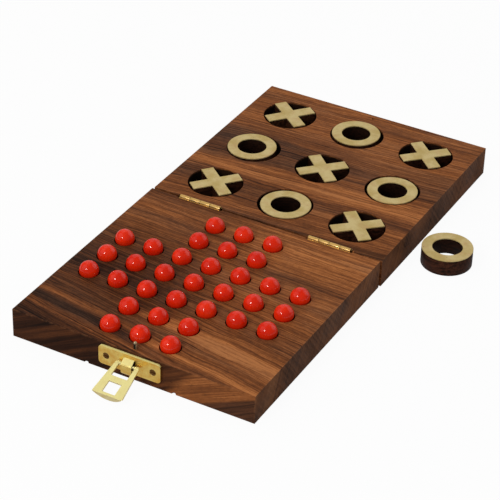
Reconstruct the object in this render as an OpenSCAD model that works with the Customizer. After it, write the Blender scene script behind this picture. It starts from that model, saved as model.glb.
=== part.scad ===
// Folding two-in-one game board, lying open.
// The front leaf is a solitaire board with balls in round sockets.
// The back leaf is a tic-tac-toe board with round wells, crosses and rings.
// Origin: centre of the front leaf's underside. +X to the right, +Y to the back leaf, +Z up.

/* [Leaves] */
// Width of both leaves, left to right
leaf_w = 127; // [115:0.5:140]
// Length of each leaf, from the seam to its far end
leaf_l = 123; // [121:0.5:140]
// Thickness of both leaves
leaf_t = 15; // [13:0.5:20]
// Gap between the leaves when they lie open
seam = 1.4; // [1:0.1:2.5]
// How far the back leaf sits to the right of the front leaf
back_shift = 0.5; // [0:0.1:1]
// Length of the sanded bevel on the back leaf's seam edge, at its right end
bevel_l = 5; // [2:0.5:7]
// Drop of that bevel at the right end
bevel_drop = 0.7; // [0.3:0.1:1.5]

/* [Solitaire field] */
// Diameter of a ball
ball_d = 9.5; // [7:0.1:10]
// Height of a ball's centre above the board
ball_rise = 0.9; // [0:0.1:2]
// Distance from the leaf's left side to the centres of the leftmost sockets
field_left = 13.5; // [10:0.1:20]
// Distance from the leaf's right side to the centres of the rightmost sockets
field_right = 18.1; // [10:0.1:24]
// Distance from the leaf's front to the centres of the foremost sockets
field_front = 11.9; // [10:0.1:18]
// Distance from the seam to the centres of the rearmost sockets
field_back = 15.7; // [12:0.1:20]

/* [Tic-tac-toe field] */
// Diameter of a well
well_d = 28.2; // [27.6:0.1:30]
// Depth of a well
well_depth = 8.3; // [5:0.1:10]
// Wood left between the wells and the leaf's left and right sides
wells_side = 9.6; // [5:0.1:14]
// Wood left between the wells and the seam
wells_near = 6; // [5.5:0.1:10]
// Wood left between the wells and the leaf's far end
wells_far = 9.2; // [6:0.1:13]

/* [Pieces] */
// Height of a cross or ring with its brass face
piece_h = 8.8; // [6:0.1:12]
// Thickness of the brass face
brass_t = 0.6; // [0.4:0.1:1.2]
// Width of a cross's arm
cross_arm_w = 6.5; // [4:0.1:8]
// Diameter of the hole in a ring
ring_hole_d = 15; // [10:0.1:17]

/* [Places of the pieces] */
// Turn of each cross in its well
cross_turns = [5, -2, 1, 6, 1]; // [-10:1:10]
// Direction in which each cross lies off its well's centre
cross_sides = [27, 90, -22, 135, -117]; // [-180:1:180]
// Direction in which each ring lies off its well's centre
ring_sides = [-50, 178, -63, 140]; // [-180:1:180]
// Gap from the back leaf's right side to the spare ring on the table
spare_gap = 5.5; // [2:0.1:20]
// Distance of the spare ring's centre behind the seam
spare_y = 36; // [10:0.5:110]

/* [Hinges] */
// Length of a hinge
hinge_l = 23; // [20:0.1:32]
// Distance from the front leaf's side to the nearer end of a hinge
hinge_inset = 16; // [8:0.1:22]
// Number of knuckles on a hinge
knuckles = 4; // [2:2:6]
// Outer diameter of a knuckle
knuckle_d = 2.3; // [2.2:0.1:3.2]
// Diameter of the hinge pin
hinge_pin_d = 1.1; // [1:0.1:1.4]
// Height of a flap, down from the board's top
flap_h = 9; // [8:0.1:11]
// Thickness of a flap
flap_t = 0.9; // [0.7:0.1:1.2]
// Distance from the board's top down to the hinge screws
hinge_screw_drop = 5.8; // [5:0.1:6.5]
// Distance between the two screws of a flap
hinge_screws_apart = 15.2; // [12:0.1:16.5]
// How far the notch for the knuckles runs past each end of a hinge
notch_past = 1.2; // [0.5:0.1:2]

/* [Latch plate and catch plate] */
// Width of both plates
plate_w = 32.4; // [28:0.1:38]
// Height of both plates
plate_h = 9.8; // [9.4:0.1:11]
// Thickness of both plates
plate_t = 1.2; // [0.7:0.1:1.2]
// Radius of the plates' corners
plate_r = 1.8; // [0.5:0.1:3]
// Distance from the board's top down to a plate
plate_drop = 1.3; // [0.8:0.1:2]
// Distance between the two screws of a plate
plate_screws_apart = 24.4; // [20:0.1:26]
// Width of the tongue that is rolled around the loop's bar
tongue_w = 5.5; // [5:0.1:7.5]
// Wall of the rolled tongue
tongue_t = 0.6; // [0.5:0.05:0.7]
// Height above the bar's centre at which the tongue leaves the plate
tongue_root = 2.9; // [2.6:0.1:3.5]
// Distance from the bar's centre down to the tongue's end
tongue_low = 4.3; // [3.5:0.1:4.5]
// Height of the tongue's end that is bent inwards
curl_h = 0.8; // [0.4:0.1:1.2]
// How far the tongue's end is bent inwards
curl_in = 0.5; // [0.2:0.1:0.7]
// Depth of the slope between the tongue's top and its front
shoulder_in = 0.4; // [0.2:0.1:0.6]
// Height of that slope's upper edge above the bar's centre
shoulder_h = 1; // [0.8:0.1:1.2]
// Gap on each side of the tongue in the slot that it was cut from
slot_side = 0.45; // [0.2:0.05:0.8]
// Distance from the bar's centre up to the slot's upper end
slot_up = 2.1; // [1.8:0.1:2.2]
// Distance from the bar's centre down to the slot's lower end
slot_down = 3.4; // [3:0.1:4]
// How far the catch stands out from its plate
catch_out = 3; // [2.4:0.1:3.6]
// Size of the slopes on the catch's front edges
catch_slope = 0.8; // [0.4:0.1:1]

/* [Latch loop] */
// Diameter of the loop's bar, on which it swings
bar_d = 1.4; // [1.2:0.1:1.6]
// Distance of the bar's ends inside the arms' outer edges
bar_end = 0.5; // [0.4:0.05:0.8]
// Distance from the plate's front to the centre of the bar
bar_out = 1.45; // [1.45:0.05:1.8]
// Thickness of the loop
loop_t = 0.9; // [0.7:0.1:1.1]
// Width of the loop at its bar
loop_top_w = 12.2; // [10.4:0.1:13]
// Width of the loop at its outer end
loop_end_w = 15.4; // [13:0.1:18]
// Length of the loop's flat part, from the bar
loop_l = 17.3; // [15.5:0.1:18]
// How far the arms' ends reach behind the bar
loop_back = 0.9; // [0.8:0.1:1.1]
// Radius of the arms' ends
loop_r = 1.2; // [0.5:0.1:1.4]
// Length of the gap between the arms, from the bar
gap_l = 7.4; // [6.5:0.1:7.6]
// Gap between the tongue and each of the arms
arm_gap = 1.4; // [0.25:0.05:1.6]
// Width of the cross bar between that gap and the window
cross_bar_w = 3.1; // [2:0.1:3.3]
// Width of the bar between the window and the lip
end_bar_w = 0.5; // [0.3:0.1:1]
// Width of the loop's window
window_w = 6.7; // [6:0.1:7.5]
// Length of the lip bent from the loop's end
lip_l = 3.5; // [2.5:0.1:4]
// Height of the resting loop's lip above the table
lip_gap = 0.4; // [0.2:0.05:1]

/* [Screws] */
// Diameter of a plate screw's shank
screw_d = 1.9; // [1.5:0.1:2.4]
// Diameter of a plate screw's head
screw_head_d = 3.2; // [2.8:0.1:3.8]
// Length of a plate screw
screw_l = 9; // [6:0.5:14]
// Diameter of a hinge screw's shank
hinge_screw_d = 1.7; // [1.4:0.1:2]
// Diameter of a hinge screw's head
hinge_screw_head_d = 3.1; // [2.6:0.1:3.4]
// Length of a hinge screw
hinge_screw_l = 4.8; // [3.5:0.1:5]
// Width of the slot in a screw's head
drive_w = 0.55; // [0.4:0.05:0.8]
// Depth of that slot
drive_depth = 0.3; // [0.2:0.05:0.4]
// Diameter of a screw's blunt tip
tip_d = 0.45; // [0.2:0.05:0.8]

/* [Locating pin] */
// Diameter of the pin in the front leaf that enters a hole in the back leaf when the board is shut
locating_d = 1.6; // [1.2:0.1:2]
// Height of that pin above the board
locating_h = 3.6; // [2:0.1:4]
// Depth to which that pin is set into the front leaf
locating_set = 6; // [4:0.5:9]
// Size of the slope around that pin's tip
locating_tip = 0.4; // [0.2:0.1:0.5]
// Place of that pin, to the right of the leaf's middle
locating_x = 0.5; // [-5:0.5:5]
// Distance of that pin from the leaf's front face
locating_in = 3.2; // [2:0.1:4]

/* [Marks of wear] */
// Radius of the two nicks on the front leaf's lower front edge
nick_r = 1.1; // [0.5:0.1:2]
// Place of the left nick, to the right of the leaf's middle
left_nick_x = -23.5; // [-40:0.5:-20]
// Place of the right nick, to the right of the leaf's middle
right_nick_x = 22.5; // [20:0.5:40]

/* [Clearances] */
// Gap between a ball or piece and what it lies on
seat_gap = 0.15; // [0.1:0.01:0.2]
// Gap between a ball and its socket's rim, seen from above
rim_gap = 0.5; // [0.3:0.05:0.8]
// Gap between a centred cross's corners and its well's wall
cross_gap = 0.6; // [0.5:0.05:2]
// Gap that stays between a cross and the wall that it has slid towards
cross_near = 0.35; // [0.3:0.05:0.5]
// Gap between a centred ring and its well's wall
ring_gap = 1.4; // [0.5:0.05:2]
// Gap that stays between a ring and the wall that it has slid towards
ring_near = 0.3; // [0.2:0.05:0.5]
// Radial clearance of a pin in its bore
pin_gap = 0.06; // [0.03:0.01:0.1]
// Clearance between a metal part or screw and the recess it is let into
let_in_gap = 0.1; // [0.05:0.01:0.2]
// Gap between neighbouring knuckles
knuckle_gap = 0.2; // [0.1:0.05:0.4]
// Gap between a knuckle and the other flap
flap_gap = 0.15; // [0.1:0.05:0.3]
// Gap between the knuckles and the leaves
notch_gap = 0.3; // [0.3:0.05:0.6]
// Gap between the catch and the loop's window when the board is shut
catch_gap = 0.45; // [0.2:0.05:0.6]
// Gap all round the locating pin in the hole that it enters when the board is shut
locating_gap = 0.2; // [0.1:0.05:0.4]
// Free depth of a screw's hole beyond its tip
hole_end_gap = 0.5; // [0.2:0.1:0.5]

/* [Hidden] */
$fn = 48;
fine_fn = 96;
eps = 0.01;
over = 1;

top_z = leaf_t;
front_y = -leaf_l / 2;
seam_front_y = leaf_l / 2;
seam_back_y = seam_front_y + seam;
back_y = seam_back_y + leaf_l;
axis_y = seam_front_y + seam / 2;

// Solitaire: an English cross, seven holes wide, of arms three holes wide
field_count = 7;
arm_count = 3;
field_half = (field_count - 1) / 2;
arm_half = (arm_count - 1) / 2;
ball_pitch = [
    (leaf_w - field_left - field_right) / (field_count - 1),
    (leaf_l - field_front - field_back) / (field_count - 1)
];
field_mid = [(field_left - field_right) / 2, (field_front - field_back) / 2];
ball_z = top_z + ball_rise;
socket_d = ball_d + 2 * rim_gap;
socket_depth = ball_d / 2 - ball_rise + seat_gap;
socket_r = (pow(socket_depth, 2) + pow(socket_d / 2, 2)) / (2 * socket_depth);

// Tic-tac-toe: crosses at the corners and the middle, rings between them
well_pitch = [(leaf_w - well_d) / 2 - wells_side, (leaf_l - well_d - wells_near - wells_far) / 2];
wells_mid = [back_shift, seam_back_y + wells_near + well_d / 2 + well_pitch[1]];
wells = [for (j = [-1:1], i = [-1:1]) [i, j]];
cross_wells = [for (w = wells) if ((w[0] + w[1]) % 2 == 0) w];
ring_wells = [for (w = wells) if ((w[0] + w[1]) % 2 != 0) w];
piece_z = top_z - well_depth + seat_gap;
body_h = piece_h - brass_t;
cross_span = 2 * sqrt(pow(well_d / 2 - cross_gap, 2) - pow(cross_arm_w / 2, 2));
cross_off = cross_gap - cross_near;
ring_d = well_d - 2 * ring_gap;
ring_off = ring_gap - ring_near;
spare_at = [back_shift + leaf_w / 2 + spare_gap + ring_d / 2, seam_back_y + spare_y];

hinge_spacing = leaf_w - hinge_l - 2 * hinge_inset;
hinge_xs = [-hinge_spacing / 2, hinge_spacing / 2];
hinge_screw_xs = [-hinge_screws_apart / 2, hinge_screws_apart / 2];
hinge_screw_z = top_z - hinge_screw_drop;
knuckle_l = hinge_l / knuckles;

locating_y = front_y + locating_in;
locating_hole_y = 2 * axis_y - locating_y;

plate_z = top_z - plate_drop - plate_h / 2;
plate_screw_xs = [-plate_screws_apart / 2, plate_screws_apart / 2];
barrel_r = bar_d / 2 + pin_gap + tongue_t;

// The resting loop slopes down from its bar until its lip is just above the table
bar_z = plate_z;
lip_far = loop_l + loop_t;
lip_down = lip_l - loop_t / 2;
loop_angle = asin((bar_z - lip_gap) / norm([lip_far, lip_down])) - atan(lip_down / lip_far);
bar_l = loop_top_w - 2 * bar_end;
window_start = gap_l + cross_bar_w;
window_end = loop_l - end_bar_w;

// The nine balls in the middle have a node each, and each arm's two rows of three have one a row
centre_balls = [
    for (j = [-arm_half:arm_half], i = [-arm_half:arm_half])
        [str("ball_", arm_count * (j + arm_half) + i + arm_half + 1), [[i, j]]]
];
arm_balls = [
    for (side = ["front", "back", "left", "right"], row = [arm_half + 1:field_half])
        [str("balls_", side, "_", row - arm_half),
            [for (i = [-arm_half:arm_half])
                side == "front" ? [i, -row]
                : side == "back" ? [i, row]
                : side == "left" ? [-row, i]
                : [row, i]]]
];
ball_sets = concat(centre_balls, arm_balls);
all_holes = [for (set = ball_sets, hole = set[1]) hole];

function hole_at(hole) = field_mid + [hole[0] * ball_pitch[0], hole[1] * ball_pitch[1]];
function well_at(w) = wells_mid + [w[0] * well_pitch[0], w[1] * well_pitch[1]];
function off(distance, side) = distance * [cos(side), sin(side)];
function cross_at(n) = well_at(cross_wells[n - 1]) + off(cross_off, cross_sides[n - 1]);
function ring_at(n) =
    n > len(ring_wells) ? spare_at : well_at(ring_wells[n - 1]) + off(ring_off, ring_sides[n - 1]);
function ring_z(n) = n > len(ring_wells) ? 0 : piece_z;

// A cylinder along X, centred on its length
module rod_x(l, r) {
    rotate([0, 90, 0]) cylinder(h = l, r = r, center = true);
}

// A countersunk screw along +Y, its head's face at the origin
module screw(l, d, head_d) {
    head_h = (head_d - d) / 2;
    tip_h = d;
    rotate([-90, 0, 0]) difference() {
        union() {
            cylinder(h = head_h, r1 = head_d / 2, r2 = d / 2);
            translate([0, 0, head_h - eps]) cylinder(h = l - head_h - tip_h + eps, r = d / 2);
            translate([0, 0, l - tip_h - eps]) cylinder(h = tip_h, r1 = d / 2, r2 = tip_d / 2);
        }
        translate([-head_d, -drive_w / 2, -eps]) cube([2 * head_d, drive_w, drive_depth]);
    }
}

// The hole that such a screw fills, in metal and wood alike
module screw_hole(l, d, head_d) {
    head_h = (head_d - d) / 2;
    rotate([-90, 0, 0]) {
        translate([0, 0, -over]) cylinder(h = over + eps, r = head_d / 2 + let_in_gap);
        cylinder(h = head_h, r1 = head_d / 2 + let_in_gap, r2 = d / 2 + let_in_gap);
        cylinder(h = l + hole_end_gap, r = d / 2 + let_in_gap);
    }
}

// Places a child at each hinge screw, +Y into the leaf: side is 1 for the back leaf, -1 for the front
module at_hinge_screws(side) {
    face_y = side > 0 ? seam_back_y : seam_front_y;
    for (hx = hinge_xs, sx = hinge_screw_xs)
        translate([hx + sx, face_y, hinge_screw_z]) rotate([0, 0, side > 0 ? 0 : 180]) children();
}

// Places a child at each screw of a plate: side is -1 for the latch in front, 1 for the catch behind
module at_plate_screws(side) {
    x0 = side > 0 ? back_shift : 0;
    face_y = side > 0 ? back_y + plate_t : front_y - plate_t;
    for (sx = plate_screw_xs)
        translate([x0 + sx, face_y, plate_z]) rotate([0, 0, side > 0 ? 180 : 0]) children();
}

module hinge_screw_holes(side) {
    at_hinge_screws(side) screw_hole(hinge_screw_l, hinge_screw_d, hinge_screw_head_d);
}

module plate_screw_holes(side) {
    at_plate_screws(side) screw_hole(screw_l, screw_d, screw_head_d);
}

// The recess for a flap and the notch for the knuckles, cut from a leaf
module hinge_recess(side) {
    y0 = side > 0 ? seam_back_y - over : seam_front_y - flap_t - let_in_gap;
    flap_l = hinge_l + 2 * let_in_gap;
    for (hx = hinge_xs) {
        translate([hx - flap_l / 2, y0, top_z - flap_h - let_in_gap])
            cube([flap_l, flap_t + let_in_gap + over, flap_h + let_in_gap + over]);
        translate([hx, axis_y, top_z]) rod_x(hinge_l + 2 * notch_past, knuckle_d / 2 + notch_gap);
    }
}

module front_leaf() {
    color("saddlebrown") difference() {
        translate([-leaf_w / 2, front_y, 0]) cube([leaf_w, leaf_l, leaf_t]);
        for (hole = all_holes)
            translate([hole_at(hole)[0], hole_at(hole)[1], top_z - socket_depth + socket_r])
                sphere(r = socket_r);
        hinge_recess(-1);
        hinge_screw_holes(-1);
        plate_screw_holes(-1);
        translate([locating_x, locating_y, top_z - locating_set - hole_end_gap])
            cylinder(h = locating_set + hole_end_gap + over, r = locating_d / 2 + let_in_gap);
        for (x = [left_nick_x, right_nick_x]) translate([x, front_y, 0]) sphere(r = nick_r);
    }
}

// The space above the sanded bevel, which starts at nothing in the middle of the seam edge
module bevel_cut() {
    turn = atan(bevel_l / (leaf_w / 2));
    tilt = atan(bevel_drop / (bevel_l * cos(turn)));
    big = 2 * leaf_w;
    translate([back_shift, seam_back_y, top_z])
        rotate([0, 0, turn]) rotate([tilt, 0, 0]) translate([-big / 2, -big, 0]) cube(big);
}

module back_leaf() {
    color("saddlebrown") difference() {
        translate([back_shift - leaf_w / 2, seam_back_y, 0]) cube([leaf_w, leaf_l, leaf_t]);
        for (w = wells)
            translate([well_at(w)[0], well_at(w)[1], top_z - well_depth])
                cylinder(h = well_depth + over, r = well_d / 2, $fn = fine_fn);
        hinge_recess(1);
        hinge_screw_holes(1);
        plate_screw_holes(1);
        translate([locating_x, locating_hole_y, top_z - locating_h - hole_end_gap])
            cylinder(h = locating_h + hole_end_gap + over, r = locating_d / 2 + locating_gap);
        bevel_cut();
    }
}

// One flap with its knuckles. Side is 1 for the back flap, which has the even knuckles.
module flap(hx, side) {
    mine = [for (k = [0:knuckles - 1]) if ((k % 2 == 1) == (side > 0)) k];
    others = [for (k = [0:knuckles - 1]) if ((k % 2 == 1) != (side > 0)) k];
    plate_y = side > 0 ? seam_back_y : seam_front_y - flap_t;
    web_y = side > 0 ? axis_y : plate_y;
    web_w = seam / 2 + flap_t;
    solid_l = knuckle_l - knuckle_gap;
    x0 = hx - hinge_l / 2;
    color("goldenrod") difference() {
        union() {
            translate([x0, plate_y, top_z - flap_h]) cube([hinge_l, flap_t, flap_h - let_in_gap]);
            for (k = mine) translate([x0 + k * knuckle_l + knuckle_gap / 2, 0, 0]) {
                translate([solid_l / 2, axis_y, top_z]) rod_x(solid_l, knuckle_d / 2);
                translate([0, web_y, top_z - knuckle_d / 2]) cube([solid_l, web_w, flap_t]);
            }
        }
        for (k = others)
            translate([x0 + (k + 0.5) * knuckle_l, axis_y, top_z])
                rod_x(knuckle_l + knuckle_gap, knuckle_d / 2 + flap_gap);
        translate([hx, axis_y, top_z]) rod_x(hinge_l + over, hinge_pin_d / 2 + pin_gap);
        hinge_screw_holes(side);
    }
}

module hinge_pin(hx) {
    color("darkgoldenrod") translate([hx, axis_y, top_z]) rod_x(hinge_l, hinge_pin_d / 2);
}

module hinge_screws(side) {
    color("darkgoldenrod") at_hinge_screws(side) screw(hinge_screw_l, hinge_screw_d, hinge_screw_head_d);
}

// The outline of both plates, standing in the XZ plane, its front at y = 0 and its back at y = plate_t
module plate_blank() {
    rotate([90, 0, 0]) translate([0, 0, -plate_t]) linear_extrude(plate_t) union() {
        square([plate_w - 2 * plate_r, plate_h], center = true);
        square([plate_w, plate_h - 2 * plate_r], center = true);
        for (x = [-1, 1], z = [-1, 1])
            translate([x * (plate_w / 2 - plate_r), z * (plate_h / 2 - plate_r)]) circle(r = plate_r);
    }
}

// Side view of the tongue, out from the plate's front and up from the bar: it leaves the plate above
// the bar, comes down around it and ends below it
module tongue_side() {
    front_x = bar_out + barrel_r;
    back_x = front_x - tongue_t;
    difference() {
        union() {
            polygon([[-plate_t / 2, tongue_root], [0, tongue_root], [front_x - shoulder_in, shoulder_h],
                [front_x, shoulder_in], [front_x, curl_h - tongue_low], [front_x - curl_in, -tongue_low],
                [back_x - curl_in, -tongue_low], [back_x, curl_h - tongue_low], [back_x, 0],
                [bar_out, 0], [-plate_t / 2, slot_up]]);
            translate([bar_out, 0]) circle(r = barrel_r);
        }
        translate([bar_out, 0]) circle(r = bar_d / 2 + pin_gap);
    }
}

module latch_plate() {
    slot_w = tongue_w + 2 * slot_side;
    color("gold") difference() {
        translate([0, front_y - plate_t, bar_z]) union() {
            difference() {
                translate([0, 0, plate_z - bar_z]) plate_blank();
                translate([-slot_w / 2, -over, -slot_down])
                    cube([slot_w, plate_t + 2 * over, slot_up + slot_down]);
            }
            rotate([90, 0, -90]) linear_extrude(tongue_w, center = true) tongue_side();
        }
        plate_screw_holes(-1);
    }
}

// The flat stamping seen from above, its bar at the origin and its outer end towards -Y
module loop_flat() {
    top_half = loop_top_w / 2;
    end_half = loop_end_w / 2;
    difference() {
        union() {
            polygon([[-top_half, 0], [top_half, 0], [end_half, -loop_l], [-end_half, -loop_l]]);
            translate([loop_r - top_half, 0]) square([2 * (top_half - loop_r), loop_back]);
            for (x = [-1, 1]) translate([x * (top_half - loop_r), loop_back - loop_r]) circle(r = loop_r);
        }
        translate([-tongue_w / 2 - arm_gap, -gap_l])
            square([tongue_w + 2 * arm_gap, gap_l + loop_back + over]);
        translate([-window_w / 2, -window_end]) square([window_w, window_end - window_start]);
    }
}

// The lip seen from the front: straight where it is bent, with a curved lower edge
module lip_flat() {
    r = (pow(loop_end_w / 2, 2) + pow(lip_l, 2)) / (2 * lip_l);
    intersection() {
        translate([0, r - lip_l]) circle(r = r, $fn = fine_fn);
        translate([-loop_end_w / 2, -lip_l]) square([loop_end_w, lip_l]);
    }
}

module latch_loop() {
    color("gold") translate([0, front_y - plate_t - bar_out, bar_z]) rotate([loop_angle, 0, 0]) {
        translate([0, 0, -loop_t / 2]) linear_extrude(loop_t) loop_flat();
        rod_x(bar_l, bar_d / 2);
        translate([0, -loop_l, loop_t / 2]) rotate([90, 0, 0]) linear_extrude(loop_t) lip_flat();
    }
}

module latch_screws() {
    color("darkgoldenrod") at_plate_screws(-1) screw(screw_l, screw_d, screw_head_d);
}

// Side view of the catch, out from its plate's front and up from the table. It stands where the window
// of the upright loop is when the board is shut.
module catch_side() {
    low = 2 * top_z - bar_z - window_end + catch_gap;
    high = 2 * top_z - bar_z - window_start - catch_gap;
    polygon([[-plate_t / 2, low], [catch_out - catch_slope, low], [catch_out, low + catch_slope],
        [catch_out, high - 2 * catch_slope], [catch_slope, high], [-plate_t / 2, high]]);
}

module catch_plate() {
    color("gold") difference() {
        union() {
            translate([back_shift, back_y + plate_t, plate_z]) rotate([0, 0, 180]) plate_blank();
            translate([0, back_y + plate_t, 0]) rotate([90, 0, 90])
                linear_extrude(window_w - 2 * catch_gap, center = true) catch_side();
        }
        plate_screw_holes(1);
    }
}

module catch_screws() {
    color("darkgoldenrod") at_plate_screws(1) screw(screw_l, screw_d, screw_head_d);
}

// The pin stands in the front leaf's front edge, opposite its hole in the back leaf's far edge
module locating_pin() {
    body_l = locating_set + locating_h - locating_tip;
    color("darkgoldenrod") translate([locating_x, locating_y, top_z - locating_set]) union() {
        cylinder(h = body_l, r = locating_d / 2);
        translate([0, 0, body_l]) cylinder(h = locating_tip, r1 = locating_d / 2, r2 = locating_d / 2 - locating_tip);
    }
}

module cross_part(n, z, h) {
    translate([cross_at(n)[0], cross_at(n)[1], piece_z + z]) linear_extrude(h)
        for (turn = [45, -45])
            rotate(turn + cross_turns[n - 1]) square([cross_span, cross_arm_w], center = true);
}

module cross_body(n) { color("sienna") cross_part(n, 0, body_h); }

module cross_face(n) { color("khaki") cross_part(n, body_h, brass_t); }

module ring_part(n, z, h) {
    translate([ring_at(n)[0], ring_at(n)[1], ring_z(n) + z]) difference() {
        cylinder(h = h, r = ring_d / 2, $fn = fine_fn);
        translate([0, 0, -over]) cylinder(h = h + 2 * over, r = ring_hole_d / 2, $fn = fine_fn);
    }
}

module ring_body(n) { color("sienna") ring_part(n, 0, body_h); }

module ring_face(n) { color("khaki") ring_part(n, body_h, brass_t); }

module balls(holes) {
    color("red") for (hole = holes)
        translate([hole_at(hole)[0], hole_at(hole)[1], ball_z]) sphere(r = ball_d / 2);
}

front_leaf();
back_leaf();
flap(hinge_xs[0], -1);  // hinge_left_front_flap
flap(hinge_xs[0], 1);  // hinge_left_back_flap
hinge_pin(hinge_xs[0]);  // hinge_left_pin
flap(hinge_xs[1], -1);  // hinge_right_front_flap
flap(hinge_xs[1], 1);  // hinge_right_back_flap
hinge_pin(hinge_xs[1]);  // hinge_right_pin
hinge_screws(-1);  // hinge_front_screws
hinge_screws(1);  // hinge_back_screws
latch_plate();
latch_loop();
latch_screws();
catch_plate();
catch_screws();
locating_pin();
for (n = [1:5]) {
    cross_body(n);
    cross_face(n);
    ring_body(n);
    ring_face(n);
}
for (set = ball_sets) balls(set[1]);
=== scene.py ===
# Looks of a folding game board: oiled striped hardwood, brass-faced pieces, polished brass fittings
# and glossy red balls, lying open on a pale table.
# Object coordinates are the row frame in metres, and the graphs below work in millimetres.
import bpy
import math
from collections import namedtuple
from mathutils import Matrix, Vector


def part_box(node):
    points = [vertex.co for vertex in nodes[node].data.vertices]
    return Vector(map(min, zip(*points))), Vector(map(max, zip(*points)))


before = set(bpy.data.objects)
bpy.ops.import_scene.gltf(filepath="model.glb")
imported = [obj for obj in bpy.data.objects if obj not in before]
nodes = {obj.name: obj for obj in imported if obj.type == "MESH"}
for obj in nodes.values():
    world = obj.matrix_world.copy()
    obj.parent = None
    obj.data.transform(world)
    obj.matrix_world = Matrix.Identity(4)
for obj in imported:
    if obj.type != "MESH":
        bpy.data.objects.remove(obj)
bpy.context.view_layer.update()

MM_PER_M = 1000.0
# Where a Mix node keeps its factor and its colour sockets, which share their names with other kinds
MIX_FACTOR, MIX_A, MIX_B, MIX_RESULT = 0, 6, 7, 2
RANGE_SOCKETS = ("From Min", "From Max", "To Min", "To Max")


def linear(r, g, b):
    """A linear colour from 8-bit sRGB values."""
    out = []
    for c in (r, g, b):
        c /= 255
        out.append(c / 12.92 if c <= 0.04045 else ((c + 0.055) / 1.055) ** 2.4)
    return (*out, 1.0)


def neutral(level):
    """A linear grey, with 1 for white."""
    return (level, level, level, 1.0)


class Graph:
    """A node tree, with a method for each kind of node in use. Values are sockets or constants."""

    def __init__(self, tree):
        self.tree = tree
        tree.nodes.clear()

    def new(self, kind):
        return self.tree.nodes.new("ShaderNode" + kind)

    def put(self, socket, value):
        if isinstance(value, bpy.types.NodeSocket):
            self.tree.links.new(value, socket)
        else:
            socket.default_value = value

    def math(self, op, *values, clamp=False):
        n = self.new("Math")
        n.operation = op
        n.use_clamp = clamp
        for socket, value in zip(n.inputs, values):
            self.put(socket, value)
        return n.outputs[0]

    def add(self, a, b):
        return self.math("ADD", a, b)

    def sub(self, a, b):
        return self.math("SUBTRACT", a, b)

    def mul(self, a, b):
        return self.math("MULTIPLY", a, b)

    def absolute(self, a):
        return self.math("ABSOLUTE", a)

    def total(self, *terms):
        result = terms[0]
        for term in terms[1:]:
            result = self.add(result, term)
        return result

    def hypot(self, a, b):
        return self.math("SQRT", self.add(self.mul(a, a), self.mul(b, b)))

    def vmath(self, op, a, b):
        n = self.new("VectorMath")
        n.operation = op
        self.put(n.inputs[0], a)
        self.put(n.inputs[1], b)
        return n.outputs["Value" if op == "DOT_PRODUCT" else "Vector"]

    def stretch(self, vec, factors):
        return self.vmath("MULTIPLY", vec, factors)

    def split(self, v):
        n = self.new("SeparateXYZ")
        self.put(n.inputs[0], v)
        return n.outputs[0], n.outputs[1], n.outputs[2]

    def join(self, x, y, z):
        n = self.new("CombineXYZ")
        for socket, value in zip(n.inputs, (x, y, z)):
            self.put(socket, value)
        return n.outputs[0]

    def lay(self, u, v, along, across, third):
        """Texture coordinates from u and v, scaled by along and across, and a third value."""
        return self.join(self.mul(u, along), self.mul(v, across), third)

    def noise(self, vec, scale=1.0, detail=2.0, rough=0.5):
        n = self.new("TexNoise")
        n.inputs["Scale"].default_value = scale
        n.inputs["Detail"].default_value = detail
        n.inputs["Roughness"].default_value = rough
        self.put(n.inputs["Vector"], vec)
        return n.outputs["Fac"]

    def swing(self, vec, **settings):
        """Noise about zero."""
        return self.sub(self.noise(vec, **settings), 0.5)

    def marks(self, vec, near, keep, channel=0, scale=1.0):
        """Scattered marks: 1 in the middle of some cells, and 0 elsewhere. near holds the distances
        from the middle where a mark ends and where it is full, and keep the range of the cells'
        random numbers, from the given channel, over which they come to have a mark."""
        n = self.new("TexVoronoi")
        n.inputs["Scale"].default_value = scale
        self.put(n.inputs["Vector"], vec)
        number = self.split(n.outputs["Color"])[channel]
        return self.mul(self.step(n.outputs["Distance"], *near), self.step(number, *keep))

    def step(self, value, lo, hi):
        """0 below lo, 1 above hi, smooth between them, and turned round where lo is the larger."""
        n = self.new("MapRange")
        n.interpolation_type = "SMOOTHSTEP"
        self.put(n.inputs["Value"], value)
        ends = (0.0, 1.0) if lo < hi else (1.0, 0.0)
        for name, v in zip(RANGE_SOCKETS, (min(lo, hi), max(lo, hi), *ends)):
            n.inputs[name].default_value = v
        return n.outputs["Result"]

    def spread(self, value, lo, hi, to_lo, to_hi):
        """to_lo below lo, to_hi above hi, and straight between them."""
        n = self.new("MapRange")
        self.put(n.inputs["Value"], value)
        for name, v in zip(RANGE_SOCKETS, (lo, hi, to_lo, to_hi)):
            n.inputs[name].default_value = v
        return n.outputs["Result"]

    def ramp(self, fac, stops):
        """stops are (place, colour) pairs."""
        n = self.new("ValToRGB")
        elements = n.color_ramp.elements
        elements[0].position, elements[0].color = stops[0]
        elements[1].position, elements[1].color = stops[-1]
        for place, colour in stops[1:-1]:
            elements.new(place).color = colour
        self.put(n.inputs["Fac"], fac)
        return n.outputs["Color"]

    def mix(self, fac, a, b):
        n = self.new("Mix")
        n.data_type = "RGBA"
        for place, value in ((MIX_FACTOR, fac), (MIX_A, a), (MIX_B, b)):
            self.put(n.inputs[place], value)
        return n.outputs[MIX_RESULT]

    def tint(self, color, where, weight, other):
        """color, with the given weight of the other one where where is 1."""
        return self.mix(self.mul(where, weight), color, other)

    def rays(self, *kinds):
        """Whether a ray is of each of these kinds."""
        outputs = self.new("LightPath").outputs
        return [outputs[f"Is {kind} Ray"] for kind in kinds]


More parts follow.
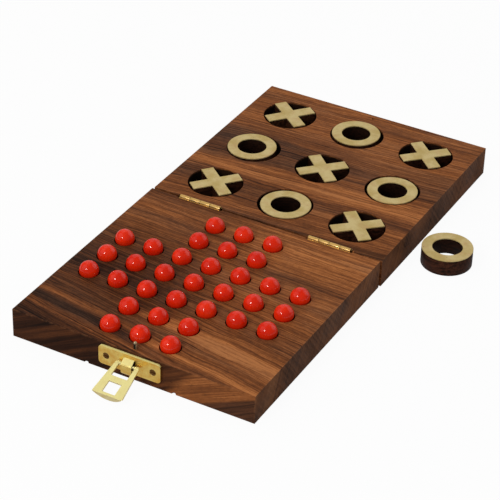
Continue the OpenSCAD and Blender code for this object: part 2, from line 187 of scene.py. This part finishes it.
class Material(Graph):
    """A material with a Principled shader. pos and x, y, z are object coordinates in mm."""

    def __init__(self, name):
        self.mat = bpy.data.materials.new(name)
        self.mat.use_nodes = True
        super().__init__(self.mat.node_tree)
        self.out = self.new("OutputMaterial")
        self.shader = self.new("BsdfPrincipled")
        self.put(self.out.inputs["Surface"], self.shader.outputs[0])
        coords = self.new("TexCoord")
        self.normal = coords.outputs["Normal"]
        self.pos = self.stretch(coords.outputs["Object"], (MM_PER_M,) * 3)
        self.x, self.y, self.z = self.split(self.pos)

    def moved(self, seed, x, y, z):
        """pos moved by seed times x, y, z, so that each piece has its own part of the pattern."""
        return self.vmath("ADD", self.pos, (seed * x, seed * y, seed * z))

    def turned(self, centre, turn):
        """Places along and across a grain that is turned about the Z axis through the centre."""
        px, py = self.sub(self.x, centre[0]), self.sub(self.y, centre[1])
        c, s = math.cos(turn), math.sin(turn)
        along = self.add(self.mul(px, c), self.mul(py, s))
        across = self.sub(self.mul(py, c), self.mul(px, s))
        return along, across

    def bump(self, height, strength, distance, normal=None):
        n = self.new("Bump")
        n.inputs["Strength"].default_value = strength
        n.inputs["Distance"].default_value = distance
        self.put(n.inputs["Height"], height)
        if normal is not None:
            self.put(n.inputs["Normal"], normal)
        return n.outputs["Normal"]

    def finish(self, color, rough, normal=None, **constants):
        """Fills in the shader. Constants are named as its sockets are, with _ for a space."""
        self.put(self.shader.inputs["Base Color"], color)
        self.put(self.shader.inputs["Roughness"], rough)
        if normal is not None:
            self.put(self.shader.inputs["Normal"], normal)
        for name, value in constants.items():
            self.shader.inputs[name.replace("_", " ")].default_value = value
        return self.mat


# ---- Wood ----
# The wood's colours from its darkest streak to its lightest band, and those of its greyer streaks
WOOD = [(0.0, linear(28, 13, 6)), (0.2, linear(54, 28, 14)), (0.4, linear(85, 47, 24)),
        (0.6, linear(119, 68, 35)), (0.8, linear(152, 90, 47)), (1.0, linear(192, 121, 67))]
SLATE = [(0.0, linear(30, 19, 13)), (0.25, linear(56, 38, 28)), (0.5, linear(86, 61, 46)),
         (1.0, linear(144, 108, 80))]
PORE = WOOD[0][1]
# Streaks along the grain, from wide to as thin as hair: scales along and across it, the place in
# the pattern for each seed, detail, roughness and weight
STREAKS = [(0.007, 0.16, 3.1, 2.0, 0.55, 0.14),
           (0.012, 0.50, 7.7, 3.0, 0.60, 0.36),
           (0.020, 1.30, 5.3, 3.0, 0.65, 0.92),
           (0.035, 2.80, 6.1, 2.0, 0.60, 0.80)]
# Half the width over which the left bands give way to the right ones, in mm
BLEND_HALF = 24.0

# A square field of wells or sockets: its middle, its pitch, how many steps it goes on each side of
# the middle, the radius of each hole, and how far below the top its painted shade is full, in mm
Holes = namedtuple("Holes", "middle pitch steps radius full_below")
# A grain: flow gives the place across it, left and right are its bands on both sides of cross_x,
# contrast scales its streaks, and figure gives the front face its own colour, or is None
Grain = namedtuple("Grain", "flow left right cross_x contrast figure")


def bands(g, v, lo, hi, stops):
    """How light and how grey the wood is along v, from stops of (v in mm, lightness, greyness)."""
    places = [((place - lo) / (hi - lo), (light, grey, 0.0, 1.0)) for place, light, grey in stops]
    return g.ramp(g.spread(v, lo, hi, 0.0, 1.0), places)


def inside_holes(g, holes, floor, top):
    """1 on the walls and floors of the wells or sockets, and 0 on the leaf's other faces."""
    from_hole = []
    for value, middle in zip((g.x, g.y), holes.middle):
        from_mid = g.sub(value, middle)
        nearest = g.math("ROUND", g.math("DIVIDE", from_mid, holes.pitch))
        nearest = g.math("MAXIMUM", g.math("MINIMUM", nearest, holes.steps), -holes.steps)
        from_hole.append(g.sub(from_mid, g.mul(nearest, holes.pitch)))
    in_shaded_hole = g.step(g.hypot(*from_hole), holes.radius + 0.35, holes.radius + 0.05)
    below_top = g.step(g.z, top - 0.1, top - holes.full_below)
    above_floor = g.step(g.z, floor + 1.0, floor + 2.0)
    return g.mul(g.mul(in_shaded_hole, below_top), above_floor)


def edge_distance(g, lo, hi):
    """Distance in mm to a box's nearest edge, which is the second smallest one to a face of it."""
    x, y, z = [g.sub((b - a) / 2, g.absolute(g.sub(place, (b + a) / 2)))
               for place, a, b in zip((g.x, g.y, g.z), lo, hi)]
    return g.math("MAXIMUM", g.math("MINIMUM", x, y), g.math("MINIMUM", g.math("MAXIMUM", x, y), z))


def end_grain(g, shifted, color):
    """The left and right faces: greyer than the rest, with slanting layers, light patches and dots
    for pores. Gives their colour and where the dots are."""
    _, sy, sz = g.split(shifted)
    slant = g.add(sy, g.mul(sz, 0.75))
    layer = g.noise(g.join(g.mul(slant, 0.55), 0.0, g.mul(sz, 0.05)), detail=4.0, rough=0.6)
    patch = g.noise(g.stretch(shifted, (0.0, 0.035, 0.09)), detail=2.0)
    dot = g.marks(g.stretch(shifted, (0.0, 1.5, 1.1)), (0.26, 0.10), (0.35, 0.55), channel=1)
    ends = g.mix(g.step(layer, 0.34, 0.66), linear(42, 26, 17), linear(88, 58, 40))
    ends = g.tint(ends, g.step(patch, 0.45, 0.62), 0.55, linear(112, 70, 42))
    ends = g.tint(ends, dot, 0.6, PORE)
    return g.mix(0.25, ends, color), dot


def board(name, box, grain, holes, seed):
    """One leaf's oiled wood."""
    g = Material(name)
    lo, hi = [[c * MM_PER_M for c in corner] for corner in box]
    shifted = g.moved(seed, 37.0, 11.0, 5.0)
    sx, sy, sz = g.split(shifted)
    nx, ny, nz = g.split(g.normal)

    # Bands of light and dark across the grain, with slow waves in them
    wave = g.swing(g.stretch(shifted, (0.014, 0.05, 0.05)), detail=3.0)
    ripple = g.swing(g.stretch(shifted, (0.06, 0.16, 0.16)), detail=2.0)
    v = g.total(grain.flow(g), g.mul(wave, 7.0), g.mul(ripple, 1.6))
    wavy_x = g.add(g.x, g.mul(wave, 60.0))
    side = g.step(wavy_x, grain.cross_x - BLEND_HALF, grain.cross_x + BLEND_HALF)
    light, grey, _ = g.split(g.mix(side, bands(g, v, *grain.left), bands(g, v, *grain.right)))

    # Streaks of several widths along the grain. The darkest lines stand by themselves
    streaks = 0.0
    for along, across, place, detail, rough, weight in STREAKS:
        streak = g.swing(g.lay(sx, v, along, across, seed * place), detail=detail, rough=rough)
        streaks = g.add(streaks, g.mul(streak, weight))
    dark = g.step(g.noise(g.lay(sx, v, 0.010, 1.15, seed * 9.9), detail=2.0, rough=0.5), 0.39, 0.32)
    streaks = g.sub(streaks, g.mul(dark, 0.24))
    fibre = g.noise(g.lay(sx, v, 0.10, 4.5, g.mul(sz, 1.2)), detail=3.0, rough=0.6)
    fleck = g.swing(g.lay(sx, v, 0.35, 0.9, seed * 2.3), detail=3.0, rough=0.7)
    light = g.total(light, g.mul(streaks, grain.contrast), g.mul(g.sub(fibre, 0.5), 0.60),
                    g.mul(fleck, 0.42), 0.035)
    hue = g.noise(g.lay(sx, v, 0.012, 0.12, seed * 4.4), detail=3.0)
    grey = g.math("ADD", grey, g.spread(hue, 0.35, 0.65, -0.20, 0.20), clamp=True)
    color = g.mix(grey, g.ramp(light, WOOD), g.ramp(light, SLATE))
    if grain.figure is not None:
        color = g.mix(g.step(ny, -0.6, -0.9), color, grain.figure(g, wave, fibre, fleck))

    # Pores: short dark dashes along the grain
    wavy = g.add(sy, g.mul(wave, 3.0))
    pore = g.marks(g.lay(sx, wavy, 0.22, 1.5, g.mul(sz, 1.5)), (0.20, 0.06), (0.45, 0.60))
    color = g.tint(color, pore, 0.55, PORE)

    end = g.step(g.absolute(nx), 0.6, 0.9)
    ends, dot = end_grain(g, shifted, color)
    color = g.mix(end, color, ends)

    # Painted shade: the sanded slope beside the seam is darker than the face
    slope = g.mul(g.step(nz, 0.80, 0.90), g.step(g.absolute(ny), 0.05, 0.11))
    color = g.tint(color, slope, 0.62, linear(44, 28, 20))

    # Wells and sockets are darkened on their walls and floors, mostly with painted shade and partly
    # for their raw wood
    hole_shade = inside_holes(g, holes, lo[2], hi[2])
    color = g.tint(color, hole_shade, 0.95, linear(14, 8, 6))

    # Edges are worn pale in places
    fray = g.noise(shifted, scale=0.35, detail=4.0, rough=0.7)
    worn = g.mul(g.step(edge_distance(g, lo, hi), 0.9, 0.15), g.step(fray, 0.42, 0.62))
    color = g.tint(color, worn, 0.15, linear(172, 116, 74))

    # Satin oil finish, duller in the pores and where hands have rubbed it
    smudge = g.noise(shifted, scale=0.045, detail=3.0)
    rough = g.total(g.spread(smudge, 0.3, 0.7, 0.40, 0.56), g.mul(pore, 0.2), g.mul(fibre, 0.10),
                    g.mul(hole_shade, 0.3), g.mul(end, 0.12))
    height = g.sub(g.mul(fibre, 0.5), g.add(g.mul(pore, 0.8), g.mul(g.mul(dot, end), 0.8)))
    return g.finish(color, rough, g.bump(height, 0.35, 0.00012), Specular_IOR_Level=0.07)


def piece_wood(name, centre, turn, tone, seed, bore=0.0):
    """Sawn dark hardwood of a cross or ring, with its grain turned about Z. Inside a ring's bore,
    of that radius in mm, it is darker with painted shade."""
    g = Material(name)
    u, v = g.turned(centre, turn)
    line_z, fine_z = g.add(g.mul(g.z, 0.9), seed * 9.0), g.add(g.mul(g.z, 4.0), seed * 4.0)
    line = g.noise(g.lay(u, v, 0.04, 0.7, line_z), detail=4.0, rough=0.6)
    fine = g.noise(g.lay(u, v, 0.3, 4.0, fine_z), detail=3.0)
    dark, pale = [linear(*[level * factor for level in tone]) for factor in (0.62, 1.50)]
    color = g.mix(g.step(line, 0.32, 0.68), dark, pale)
    color = g.tint(color, g.step(fine, 0.52, 0.34), 0.5, linear(22, 12, 9))
    pore = g.marks(g.lay(u, v, 0.5, 1.8, g.mul(g.z, 1.8)), (0.22, 0.08), (0.5, 0.65))
    color = g.tint(color, pore, 0.6, linear(16, 9, 7))
    # Painted shade inside the bore
    if bore:
        in_shaded_hole = g.step(g.hypot(u, v), bore + 0.5, bore + 0.2)
        color = g.tint(color, in_shaded_hole, 0.6, linear(19, 13, 10))
    rough = g.add(g.spread(line, 0.3, 0.7, 0.42, 0.56), g.mul(pore, 0.15))
    height = g.sub(g.mul(fine, 0.6), g.mul(pore, 0.7))
    return g.finish(color, rough, g.bump(height, 0.4, 0.0001), Specular_IOR_Level=0.06)


# ---- Brass and paint ----
def sheet_brass(name, centre, turn, seed):
    """Brushed pale brass of a piece's face, with scratches, a slight patina and a few specks."""
    g = Material(name)
    u, v = g.turned(centre, turn)
    brush = g.noise(g.lay(u, v, 0.25, 9.0, seed * 3.0), detail=4.0, rough=0.7)
    leaning = (g.add(u, g.mul(v, 0.6)), g.sub(v, g.mul(u, 0.6)))
    scratch = g.noise(g.lay(*leaning, 0.12, 6.0, seed * 5.0), detail=2.0)
    patina = g.noise(g.lay(u, v, 0.13, 0.13, seed * 8.0), detail=4.0, rough=0.6)
    blush = g.noise(g.lay(u, v, 0.20, 0.20, seed * 6.0 + 4.0), detail=3.0, rough=0.6)
    speck = g.marks(g.lay(u, v, 0.30, 0.30, seed * 2.0), (0.085, 0.05), (0.72, 0.76))
    color = g.mix(g.step(patina, 0.35, 0.68), linear(228, 205, 144), linear(209, 182, 113))
    color = g.tint(color, g.step(blush, 0.50, 0.70), 0.45, linear(214, 172, 120))
    color = g.tint(color, g.step(brush, 0.5, 0.3), 0.35, linear(168, 142, 84))
    color = g.tint(color, g.step(scratch, 0.36, 0.30), 0.4, linear(236, 220, 172))
    color = g.tint(color, speck, 0.8, linear(84, 66, 34))
    rough = g.add(g.spread(brush, 0.3, 0.7, 0.36, 0.50), g.mul(patina, 0.12))
    height = g.sub(g.mul(brush, 0.5), g.mul(g.step(scratch, 0.38, 0.30), 0.5))
    normal = g.bump(height, 0.25, 0.00005)
    return g.finish(color, rough, normal, Metallic=0.35, Specular_IOR_Level=0.15)


def fitting_brass(name, seed, base, shade, dull, painted_shade_within=0.0, painted_highlight=None, metal=1.0):
    """Stamped and polished yellow brass of the hinges, the latch, the pins and the screws, with
    dull as its range of roughness. Faces that look left or right get a dark brown painted shade
    where they lie nearer the middle than the given distance, and faces that look up get a painted
    highlight where a pale colour is given for it, as metallic as metal says."""
    g = Material(name)
    shifted = g.moved(seed, 13.0, 7.0, 3.0)
    nx, _, nz = g.split(g.normal)
    cloud = g.noise(shifted, scale=0.22, detail=4.0, rough=0.65)
    spot = g.marks(shifted, (0.12, 0.06), (0.70, 0.76), channel=1, scale=0.55)
    color = g.mix(g.step(cloud, 0.36, 0.70), linear(*base), linear(*shade))
    color = g.tint(color, spot, 0.6, linear(88, 58, 22))
    # Painted shade: side faces near the middle go dark brown, where the gaps between knuckles and
    # beside the tongue fall in shade
    if painted_shade_within:
        near = g.step(g.absolute(g.x), painted_shade_within, painted_shade_within - 0.1)
        color = g.tint(color, g.step(g.absolute(nx), 0.35, 0.75), near, linear(40, 24, 10))
    rough = g.add(g.spread(cloud, 0.3, 0.7, *dull), g.mul(spot, 0.25))
    dents = g.bump(g.noise(shifted, scale=0.35, detail=1.0), 0.25, 0.0004)
    normal = g.bump(g.noise(g.stretch(shifted, (0.5, 5.0, 5.0)), detail=3.0), 0.15, 0.00004, dents)
    if painted_highlight is None:
        return g.finish(color, rough, normal, Metallic=1.0)
    # Painted highlight: faces that look up are tinted towards the given pale colour and made less
    # metallic
    upward = g.step(nz, 0.30, 0.75)
    color = g.tint(color, upward, g.spread(cloud, 0.3, 0.7, 0.95, 0.70), linear(*painted_highlight))
    g.put(g.shader.inputs["Metallic"], g.spread(upward, 0.0, 1.0, 1.0, metal))
    return g.finish(color, rough, normal)


def pin_with_painted_highlight(name, foot, tip):
    """The locating pin: dark round its shaft, with painted highlights in a bright streak and a
    bright tip.
    """
    g = Material(name)
    cloud = g.noise(g.pos, scale=0.8, detail=3.0)
    nx, _, _ = g.split(g.normal)
    # Painted highlight: a streak on the side that looks towards +X, and the top of the pin, are
    # pale
    painted_highlight = g.step(g.add(nx, g.mul(g.sub(cloud, 0.5), 0.6)), 0.55, 0.85)
    bright = g.math("MAXIMUM", g.step(g.z, tip - 1.1, tip - 0.5), painted_highlight)
    color = g.mix(bright, linear(46, 38, 28), linear(196, 176, 136))
    rings = g.noise(g.stretch(g.pos, (0.0, 0.0, 6.0)), detail=2.0)
    rough = g.add(g.spread(cloud, 0.3, 0.7, 0.34, 0.5), g.mul(g.step(g.z, foot + 0.6, foot), 0.2))
    return g.finish(color, rough, g.bump(rings, 0.2, 0.00005), Metallic=0.8)


def glossy_red(name, red, seed):
    """A ball's thick glossy red coat, with a faint waviness and fine scuffs."""
    g = Material(name)
    shifted = g.moved(seed, 17.0, 5.0, 2.0)
    cloud = g.noise(shifted, scale=0.16, detail=2.0)
    deeper = (red[0] - 16, max(red[1] - 10, 6), max(red[2] - 6, 4))
    color = g.mix(g.step(cloud, 0.35, 0.65), linear(*red), linear(*deeper))
    scuff = g.noise(g.stretch(shifted, (2.5, 0.5, 4.0)), detail=4.0, rough=0.7)
    rough = g.add(g.spread(cloud, 0.3, 0.7, 0.06, 0.10), g.mul(g.step(scuff, 0.62, 0.72), 0.06))
    wobble = g.noise(shifted, scale=0.30, detail=1.0)
    return g.finish(color, rough, g.bump(wobble, 0.06, 0.0003), Specular_IOR_Level=0.5)


def dress(node, material):
    obj = nodes[node]
    obj.data.materials.clear()
    obj.data.materials.append(material)


def mm(node):
    lo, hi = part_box(node)
    return Vector(lo) * MM_PER_M, Vector(hi) * MM_PER_M


def centre_of(node):
    lo, hi = mm(node)
    return ((lo.x + hi.x) / 2, (lo.y + hi.y) / 2)


# ---- The leaves ----
front_top = mm("front_leaf")[1].z
back_top = mm("back_leaf")[1].z


def front_flow(g):
    # The lines run along X, slope more towards the front edge, and slant down the front face
    slope = g.sub(0.09, g.mul(g.y, 0.0014))
    return g.add(g.add(g.y, g.mul(g.x, slope)), g.mul(g.sub(front_top, g.z), 0.4))


def back_flow(g):
    return g.add(g.sub(g.y, g.mul(g.x, 0.05)), g.mul(g.sub(back_top, g.z), 0.5))


# Each list of bands is (first v, last v, stops)
front_left = (-75.0, 75.0, [
    (-75, 0.24, 0.1), (-68, 0.22, 0.1), (-62, 0.28, 0.1), (-60, 0.46, 0.0), (-57.5, 0.44, 0.0),
    (-55.5, 0.21, 0.45), (-52, 0.18, 0.45), (-50, 0.37, 0.1), (-48.5, 0.60, 0.0), (-46, 0.54, 0.0),
    (-44, 0.39, 0.2), (-38, 0.40, 0.2), (-30, 0.36, 0.1), (-23, 0.34, 0.1), (-20, 0.19, 0.2),
    (-14, 0.29, 0.2), (6, 0.39, 0.2), (24, 0.52, 0.1), (36, 0.66, 0.0), (38.5, 0.42, 0.0),
    (41, 0.68, 0.0), (54, 0.60, 0.0), (62, 0.44, 0.1), (75, 0.45, 0.0)])
front_right = (-75.0, 75.0, [
    (-75, 0.46, 0.1), (-60, 0.54, 0.1), (-52.5, 0.56, 0.1), (-50.5, 0.94, 0.0), (-48.5, 0.90, 0.0),
    (-46.5, 0.58, 0.2), (-41, 0.64, 0.2), (-37, 0.76, 0.0), (-33, 0.94, 0.0), (-29.5, 0.88, 0.0),
    (-27.5, 0.50, 0.1), (-25.5, 0.70, 0.0), (-23, 0.52, 0.1), (-18, 0.60, 0.1), (4, 0.66, 0.1),
    (20, 0.74, 0.1), (26, 0.62, 0.0), (28, 0.42, 0.1), (31, 0.70, 0.0), (42, 0.77, 0.0),
    (50, 0.85, 0.0), (60, 0.79, 0.0), (75, 0.75, 0.0)])
back_left = (55.0, 195.0, [
    (55, 0.45, 0.1), (64, 0.49, 0.1), (68, 0.66, 0.0), (74, 0.57, 0.0), (80, 0.59, 0.05),
    (88, 0.45, 0.2), (94, 0.47, 0.15), (99, 0.69, 0.0), (103, 0.83, 0.0), (108, 0.71, 0.0),
    (113, 0.46, 0.3), (124, 0.42, 0.45), (136, 0.44, 0.35), (144, 0.61, 0.05), (154, 0.71, 0.0),
    (168, 0.64, 0.0), (180, 0.71, 0.0), (195, 0.69, 0.0)])
back_right = (55.0, 195.0, [
    (55, 0.42, 0.1), (63, 0.59, 0.0), (72, 0.59, 0.0), (77, 0.59, 0.0), (81, 0.78, 0.0),
    (84, 0.66, 0.0), (88, 0.45, 0.15), (93, 0.53, 0.1), (98, 0.75, 0.0), (103, 0.92, 0.0),
    (108, 0.81, 0.0), (114, 0.63, 0.05), (123, 0.57, 0.15), (133, 0.52, 0.3), (140, 0.62, 0.1),
    (148, 0.71, 0.0), (158, 0.76, 0.0), (168, 0.64, 0.0), (182, 0.71, 0.0), (195, 0.69, 0.0)])

# Where the front face's light patch meets the dark corner under it: a point on that line, its slope
PATCH_X, PATCH_Z, PATCH_SLOPE = 36.5, 1.0, 0.434


def front_figure(g, wave, fibre, fleck):
    """The front face: dark streaks that climb to the right, a light patch right of the latch, and a
    dark corner under that."""
    warp = g.mul(wave, 4.0)
    climb = g.add(g.sub(g.z, g.mul(g.x, 0.52)), warp)
    broad = g.noise(g.lay(climb, g.x, 0.19, 0.012, 3.3), detail=3.0, rough=0.6)
    fine = g.noise(g.lay(climb, g.x, 1.1, 0.03, 8.1), detail=3.0, rough=0.6)
    light = g.add(g.spread(broad, 0.30, 0.70, 0.0, 0.50), g.mul(g.sub(fine, 0.5), 0.40))
    light = g.add(g.sub(light, 0.09), g.mul(g.step(g.x, -25.0, 5.0), 0.20))

    rise = g.sub(g.sub(g.z, PATCH_Z), g.mul(g.sub(g.x, PATCH_X), PATCH_SLOPE))
    rise = g.add(rise, g.mul(warp, 0.5))
    lines = g.noise(g.lay(rise, g.x, 0.85, 0.02, 5.5), detail=4.0, rough=0.65)
    patch = g.ramp(g.add(g.spread(lines, 0.3, 0.7, 0.50, 0.98), g.mul(fleck, 0.3)), WOOD)
    rightward = g.add(g.sub(g.x, g.mul(g.z, 0.9)), g.mul(wave, 8.0))
    on_patch = g.mul(g.step(rise, -0.9, 0.9), g.step(rightward, 16.5, 23.0))
    color = g.mix(on_patch, g.ramp(light, WOOD), patch)

    corner = g.mul(g.step(rise, 0.9, -0.9), g.step(g.x, 30.0, 38.0))
    corner_wood = g.mix(g.step(fine, 0.35, 0.65), linear(56, 36, 25), linear(92, 58, 40))
    color = g.tint(color, corner, 0.7, corner_wood)
    return g.tint(color, g.step(fibre, 0.5, 0.30), 0.35, PORE)


# A socket's radius is this much larger than its ball's
SOCKET_ROOM = 0.5
WELL_PITCH, WELL_RADIUS = 39.8, 14.1
# The field of wells lies this much nearer the seam than the leaf's middle
WELLS_TO_SEAM = 1.6

ball_lo, ball_hi = mm("ball_1")
socket_pitch = centre_of("ball_2")[0] - centre_of("ball_1")[0]
socket_radius = (ball_hi.x - ball_lo.x) / 2 + SOCKET_ROOM
back_x, back_y = centre_of("back_leaf")
sockets = Holes(centre_of("ball_5"), socket_pitch, 3.0, socket_radius, 0.6)
wells = Holes((back_x, back_y - WELLS_TO_SEAM), WELL_PITCH, 1.0, WELL_RADIUS, 1.4)
front_grain = Grain(front_flow, front_left, front_right, 0.0, 1.0, front_figure)
back_grain = Grain(back_flow, back_left, back_right, 10.0, 1.10, None)
dress("front_leaf", board("front_leaf_wood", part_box("front_leaf"), front_grain, sockets, 1.0))
dress("back_leaf", board("back_leaf_wood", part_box("back_leaf"), back_grain, wells, 2.0))

# ---- Crosses and rings ----
RING_BORE_RADIUS = 7.5
WOOD_TONES = [(42, 23, 14), (46, 25, 16), (52, 29, 20), (40, 22, 14), (50, 29, 18)]
# Kind, its first seed less one, where it starts in the tones, and the radius of its bore
PIECE_KINDS = [("cross", 0.0, 0, 0.0), ("ring", 5.0, 2, RING_BORE_RADIUS)]
for n in range(1, 6):
    for kind, seeds_from, tones_from, bore in PIECE_KINDS:
        piece = f"{kind}_{n}"
        centre = centre_of(f"{piece}_body")
        seed = n + seeds_from
        tone = WOOD_TONES[(tones_from + n) % len(WOOD_TONES)]
        wood_turn = 0.6 * seed
        brass_turn = 1.7 * wood_turn + 0.4
        dress(f"{piece}_body", piece_wood(f"{piece}_wood", centre, wood_turn, tone, seed, bore))
        dress(f"{piece}_face", sheet_brass(f"{piece}_brass", centre, brass_turn, seed))

# ---- Fittings ----
# Hinges: painted shade on the knuckle ends, and a painted highlight on the faces that look up
hinge = dict(base=(232, 202, 142), shade=(202, 160, 98), dull=(0.32, 0.42), painted_shade_within=70.0,
             painted_highlight=(246, 196, 108), metal=0.60)
# Plates and loop: a painted highlight on the faces that look up
plate = dict(base=(253, 221, 126), shade=(236, 182, 84), dull=(0.32, 0.42),
             painted_highlight=(255, 242, 158), metal=0.10)
# The tongue's side faces get painted shade
tongued = dict(plate, painted_shade_within=3.4)
loop = dict(plate, base=(250, 233, 174), shade=(240, 214, 144))
screws = dict(base=(138, 98, 50), shade=(96, 64, 30), dull=(0.30, 0.44))
# Hinge pins show only in the gaps between knuckles, and their darker brass there is painted shade
pin = dict(base=(120, 84, 42), shade=(84, 56, 26), dull=(0.34, 0.46))
# The first seed of each group, and its nodes with their looks
FITTINGS = [
    (1.0, [("hinge_left_front_flap", hinge), ("hinge_left_back_flap", hinge),
           ("hinge_right_front_flap", hinge), ("hinge_right_back_flap", hinge),
           ("latch_plate", tongued), ("latch_loop", loop), ("catch_plate", plate)]),
    (20.0, [("hinge_front_screws", screws), ("hinge_back_screws", screws),
            ("latch_screws", screws), ("catch_screws", screws)]),
    (30.0, [("hinge_left_pin", pin), ("hinge_right_pin", pin)])]
for first, group in FITTINGS:
    for k, (name, look) in enumerate(group):
        dress(name, fitting_brass(f"{name}_brass", first + k, **look))
dress("locating_pin", pin_with_painted_highlight("locating_pin_metal", front_top, mm("locating_pin")[1].z))

# ---- Balls ----
REDS = [(247, 46, 9), (242, 43, 7), (250, 50, 12), (245, 45, 9)]
for k, name in enumerate(sorted(n for n in nodes if n.startswith("ball"))):
    dress(name, glossy_red(f"{name}_red", REDS[k % len(REDS)], float(k)))

# ---- Softened edges, in metres, and smooth balls ----
EDGE_WIDTHS = {"front_leaf": 0.0005, "back_leaf": 0.0005,
               "latch_plate": 0.0009, "catch_plate": 0.0009}
OTHER_EDGE_WIDTH = 0.00012
for name, obj in nodes.items():
    if name.startswith("ball"):
        for poly in obj.data.polygons:
            poly.use_smooth = True
        continue
    weld = obj.modifiers.new("weld", "WELD")
    weld.merge_threshold = 1e-6
    soft = obj.modifiers.new("soft edges", "BEVEL")
    soft.width = EDGE_WIDTHS.get(name, OTHER_EDGE_WIDTH)
    soft.segments = 3 if name.endswith("plate") else 2
    soft.limit_method = "ANGLE"
    soft.angle_limit = math.radians(50)
    soft.use_clamp_overlap = True

# ---- Table ----
TABLE_HALF = 3.0
# The table lies this far under the board, so that their faces don't share a plane
TABLE_GAP = 0.0001
# How much of the table's light, for the camera and in gloss, is its own glow and not the lamps'
TABLE_GLOW = 0.945
# How strong that glow is in gloss
TABLE_IN_GLOSS = 0.58

mesh = bpy.data.meshes.new("table_top")
corners = [(x * TABLE_HALF, y * TABLE_HALF, 0) for x, y in ((-1, -1), (1, -1), (1, 1), (-1, 1))]
mesh.from_pydata(corners, [], [(0, 1, 2, 3)])
table = bpy.data.objects.new("table_top", mesh)
bpy.context.collection.objects.link(table)
table.location.z = -TABLE_GAP

g = Material("pale_table")
paper = g.noise(g.pos, scale=0.02, detail=2.0)
g.finish(g.mix(paper, neutral(0.88), neutral(0.91)), 0.9, Specular_IOR_Level=0.1)
camera_ray, glossy_ray = g.rays("Camera", "Glossy")
glow = g.new("Emission")
glow.inputs["Strength"].default_value = 1.0
g.put(glow.inputs["Color"], g.mix(camera_ray, neutral(TABLE_IN_GLOSS), neutral(1.0)))
blend = g.new("MixShader")
share = g.mul(g.math("MAXIMUM", camera_ray, glossy_ray), TABLE_GLOW)
for socket, value in zip(blend.inputs, (share, g.shader.outputs[0], glow.outputs[0])):
    g.put(socket, value)
g.put(g.out.inputs["Surface"], blend.outputs[0])
mesh.materials.append(g.mat)

# ---- World ----
# How light the room is for matt surfaces and, away from the patches below, in gloss
ROOM_LEVEL, ROOM_GLOSS = 0.40, 0.12
# Light patches of the room that gloss shows: direction, the cosines to it where they begin and
# where they are full, and strength. A soft box at the left, another at the back right, pale walls
PATCHES = [((-0.62, -0.45, 0.64), 0.80, 0.95, 0.45),
           ((0.505, 0.68, 0.53), 0.86, 0.96, 0.65),
           ((-0.40, 0.71, 0.58), 0.82, 0.97, 0.35),
           ((0.0, 0.99, 0.10), 0.60, 0.95, 0.25),
           ((-0.40, 0.25, 0.88), 0.95, 0.99, 0.35)]

world = bpy.data.worlds.new("studio")
bpy.context.scene.world = world
world.use_nodes = True
room = Graph(world.node_tree)
where = room.new("TexCoord").outputs["Generated"]
gloss = ROOM_GLOSS
for direction, begins, full, strength in PATCHES:
    toward = room.vmath("DOT_PRODUCT", where, tuple(Vector(direction).normalized()))
    gloss = room.add(gloss, room.mul(room.step(toward, begins, full), strength))
gloss = room.math("MINIMUM", gloss, 1.0)
camera_ray, glossy_ray, transmission_ray = room.rays("Camera", "Glossy", "Transmission")
level = room.mix(glossy_ray, neutral(ROOM_LEVEL), gloss)
seen = room.math("MAXIMUM", camera_ray, transmission_ray)
backdrop = room.new("Background")
backdrop.inputs["Strength"].default_value = 1.0
room.put(backdrop.inputs["Color"], room.mix(seen, level, neutral(1.0)))
room.put(room.new("OutputWorld").inputs["Surface"], backdrop.outputs[0])

# ---- Lamps ----
LAMPS_AIM = Vector((0.01, 0.05, 0.01))
LAMPS_DISTANCE = 1.2


def lamp(name, azimuth, elevation, size, power):
    """A square area lamp that looks at the board from the side at azimuth, 0 being the front."""
    data = bpy.data.lights.new(name, "AREA")
    data.shape = "SQUARE"
    data.size = size
    data.energy = power
    obj = bpy.data.objects.new(name, data)
    bpy.context.collection.objects.link(obj)
    a, e = math.radians(azimuth), math.radians(elevation)
    outward = Vector((math.sin(a) * math.cos(e), -math.cos(a) * math.cos(e), math.sin(e)))
    obj.location = LAMPS_AIM + LAMPS_DISTANCE * outward
    obj.rotation_euler = (LAMPS_AIM - obj.location).to_track_quat("-Z", "Y").to_euler()
    return obj


lamp("key", -10, 37, 0.26, 3.4)
# Gloss shows the room's own soft boxes and not this lamp
lamp("overhead", 275, 66, 2.1, 6.9).visible_glossy = False

# ---- Camera, as fitted to the photograph ----
SENSOR_WIDTH, FOCAL_LENGTH = 36.0, 147.662
EYE = (0.39093, -0.68572, 0.55671)
TO_RIGHT, TO_BOTTOM = (0.87385, 0.48545, 0.02682), (0.2874, -0.47128, -0.83385)

camera = bpy.data.cameras.new("camera")
camera.sensor_width = SENSOR_WIDTH
camera.lens = FOCAL_LENGTH
eye = bpy.data.objects.new("camera", camera)
bpy.context.collection.objects.link(eye)
right = Vector(TO_RIGHT).normalized()
down = Vector(TO_BOTTOM)
down = (down - right * down.dot(right)).normalized()
axes = Matrix((right, -down, -right.cross(down))).transposed()
eye.matrix_world = Matrix.Translation(EYE) @ axes.to_4x4()
bpy.context.scene.camera = eye
bpy.context.scene.view_settings.view_transform = "Standard"
